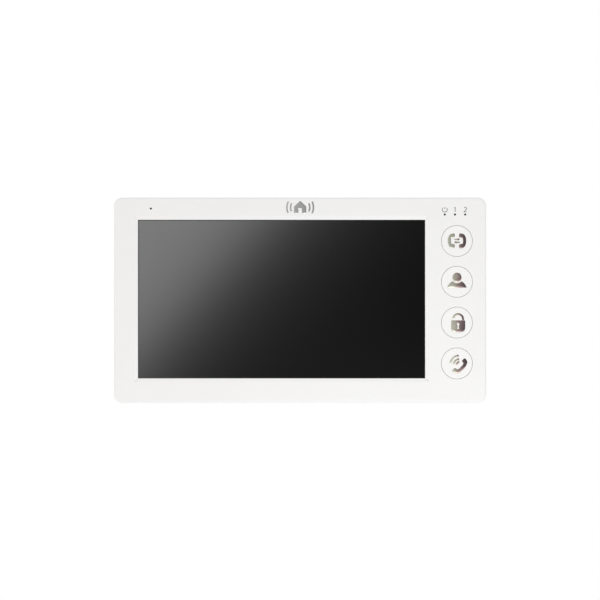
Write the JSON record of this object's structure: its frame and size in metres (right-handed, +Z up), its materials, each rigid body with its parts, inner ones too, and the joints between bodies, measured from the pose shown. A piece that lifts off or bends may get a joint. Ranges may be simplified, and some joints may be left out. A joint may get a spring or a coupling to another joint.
{
  "type": "video intercom monitor",
  "caption": "Flat wall-hung video intercom monitor: wide dark screen, a column of round picture keys, indicator lamps, edge controls, and a steel hook bracket behind.",
  "frame": {"origin": "centre of the wall bracket's hole patterns, in the plane of its rear face, where it meets the wall", "axes": "+X to the right seen from the front, +Z up, the front face looks towards -Y and the wall lies at +Y"},
  "size_m": [0.202, 0.0222, 0.1116],
  "materials": {
    "housing_white": "smooth satin-gloss moulded ABS",
    "key_white": "smooth gloss moulded ABS",
    "wheel_white": "moulded, knurled edge",
    "window_dark": "clear acrylic over a dark display, fine anti-glare",
    "adhesive_black": "black adhesive tape",
    "foam_black": "closed-cell foam and soft rubber",
    "cell_glass": "polariser film on glass",
    "sheet_steel": "thin plated sheet",
    "diffuser_white": "white reflector",
    "board_green": "solder resist over copper tracks",
    "chip_black": "moulded epoxy",
    "capacitor_can": "sleeved aluminium can",
    "coil_wound": "ferrite with tape",
    "socket_ivory": "natural nylon",
    "ribbon_amber": "polyimide flat cable",
    "screw_zinc": "zinc plated",
    "lamp_lens": "clear epoxy",
    "guide_clear": "clear acrylic, looks dark when unlit",
    "mic_can": "blackened can under black felt",
    "lead_red": "twin insulated lead",
    "speaker_black": "black basket and magnet",
    "label_plain": "blank film label",
    "sign_ink": "grey pad-printed ink",
    "badge_silver": "satin silver foil",
    "icon_chrome": "polished plated inlay",
    "plunger_ivory": "nylon",
    "knob_black": "moulded nylon",
    "bracket_steel": "galvanised sheet"
  },
  "bodies": {
    "bracket": {"wall_bracket": "bracket_steel"},
    "monitor": {"front_cover": "housing_white", "screen_window": "window_dark", "window_tape": "adhesive_black", "screen_foam": "foam_black", "display_cell": "cell_glass", "display_frame": "sheet_steel", "backlight": "diffuser_white", "display_clips": "sheet_steel", "clip_screws": "screw_zinc", "display_ribbon": "ribbon_amber", "board_chips": "chip_black", "capacitors": "capacitor_can", "power_coil": "coil_wound", "board_screws": "screw_zinc", "key_board": "board_green", "key_ribbon": "ribbon_amber", "switch_bodies": "chip_black", "status_lamps": "lamp_lens", "light_guide": "guide_clear", "key_board_screws": "screw_zinc", "microphone": "mic_can", "mic_boot": "foam_black", "mic_lead": "lead_red", "speaker": "speaker_black", "speaker_foam": "foam_black", "speaker_screws": "screw_zinc", "speaker_lead": "lead_red", "control_bodies": "chip_black", "power_switch_body": "sheet_steel", "main_board": "board_green", "station_sockets": "socket_ivory", "power_socket": "socket_ivory", "rear_cover": "housing_white", "case_screws": "screw_zinc", "blank_label": "label_plain", "front_badge": "badge_silver", "lamp_signs": "sign_ink"},
    "transfer_button": {"transfer_key": "key_white", "transfer_icon": "icon_chrome", "transfer_plunger": "plunger_ivory"},
    "view_button": {"view_key": "key_white", "view_icon": "icon_chrome", "view_plunger": "plunger_ivory"},
    "unlock_button": {"unlock_key": "key_white", "unlock_icon": "icon_chrome", "unlock_plunger": "plunger_ivory"},
    "talk_button": {"talk_key": "key_white", "talk_icon": "icon_chrome", "talk_plunger": "plunger_ivory"},
    "volume_control": {"volume_wheel": "wheel_white"},
    "brightness_control": {"brightness_wheel": "wheel_white"},
    "colour_control": {"colour_wheel": "wheel_white"},
    "power_control": {"power_switch_knob": "knob_black"}
  },
  "joints": [
    {"name": "monitor_lift", "type": "slide", "parent": "bracket", "child": "monitor", "axis": [0, 0, 1], "range_m": [0, 0.0065]},
    {"name": "transfer_press", "type": "slide", "parent": "monitor", "child": "transfer_button", "axis": [0, 1, 0], "range_m": [0, 0.0005], "stiffness_N_per_m": 2500},
    {"name": "view_press", "type": "slide", "parent": "monitor", "child": "view_button", "axis": [0, 1, 0], "range_m": [0, 0.0005], "stiffness_N_per_m": 2500},
    {"name": "unlock_press", "type": "slide", "parent": "monitor", "child": "unlock_button", "axis": [0, 1, 0], "range_m": [0, 0.0005], "stiffness_N_per_m": 2500},
    {"name": "talk_press", "type": "slide", "parent": "monitor", "child": "talk_button", "axis": [0, 1, 0], "range_m": [0, 0.0005], "stiffness_N_per_m": 2500},
    {"name": "volume_turn", "type": "hinge", "parent": "monitor", "child": "volume_control", "pos_m": [-0.0936, 0, 0.03], "axis": [0, 1, 0], "range_deg": [-130, 130]},
    {"name": "brightness_turn", "type": "hinge", "parent": "monitor", "child": "brightness_control", "pos_m": [-0.0936, 0, 0.012], "axis": [0, 1, 0], "range_deg": [-130, 130]},
    {"name": "colour_turn", "type": "hinge", "parent": "monitor", "child": "colour_control", "pos_m": [-0.0936, 0, -0.006], "axis": [0, 1, 0], "range_deg": [-130, 130]},
    {"name": "power_slide", "type": "slide", "parent": "monitor", "child": "power_control", "axis": [0, 0, -1], "range_m": [0, 0.003]}
  ]
}
